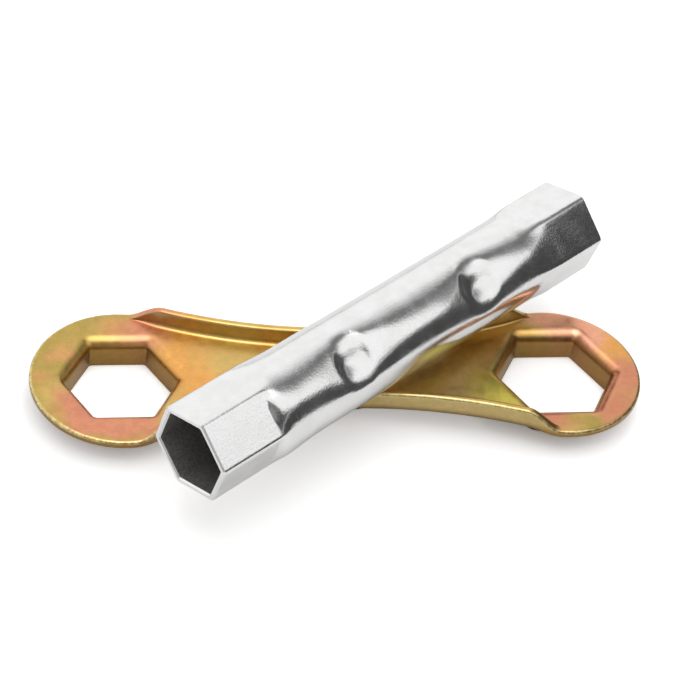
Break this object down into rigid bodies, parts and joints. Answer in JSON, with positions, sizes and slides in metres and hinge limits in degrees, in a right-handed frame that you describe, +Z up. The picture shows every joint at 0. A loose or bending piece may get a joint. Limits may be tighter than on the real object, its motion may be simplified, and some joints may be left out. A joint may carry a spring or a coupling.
{
  "type": "spark plug wrench",
  "caption": "Spark plug wrench set: a bright hex-ended tube spanner lying across a gold pressed-steel ring handle that turns it.",
  "frame": {"origin": "centre of the bounding box, on the plane that the handle's collar feet rest on", "axes": "+X along the tube's bore towards its far hex end, +Z up from the resting plane"},
  "size_m": [0.122, 0.0974, 0.0325],
  "materials": {
    "yellow_zinc": "yellow zinc chromate plating on pressed steel, satin, with pink and green bloom",
    "bright_plating": "bright plating on drawn steel tube, dark inside the bore"
  },
  "bodies": {
    "handle": {"ring_handle": "yellow_zinc"},
    "tube": {"plug_tube": "bright_plating"}
  },
  "joints": [
    {"name": "tube_lift", "type": "slide", "parent": "handle", "child": "tube", "axis": [0, 0, 1], "range_m": [0, 0.06]}
  ]
}
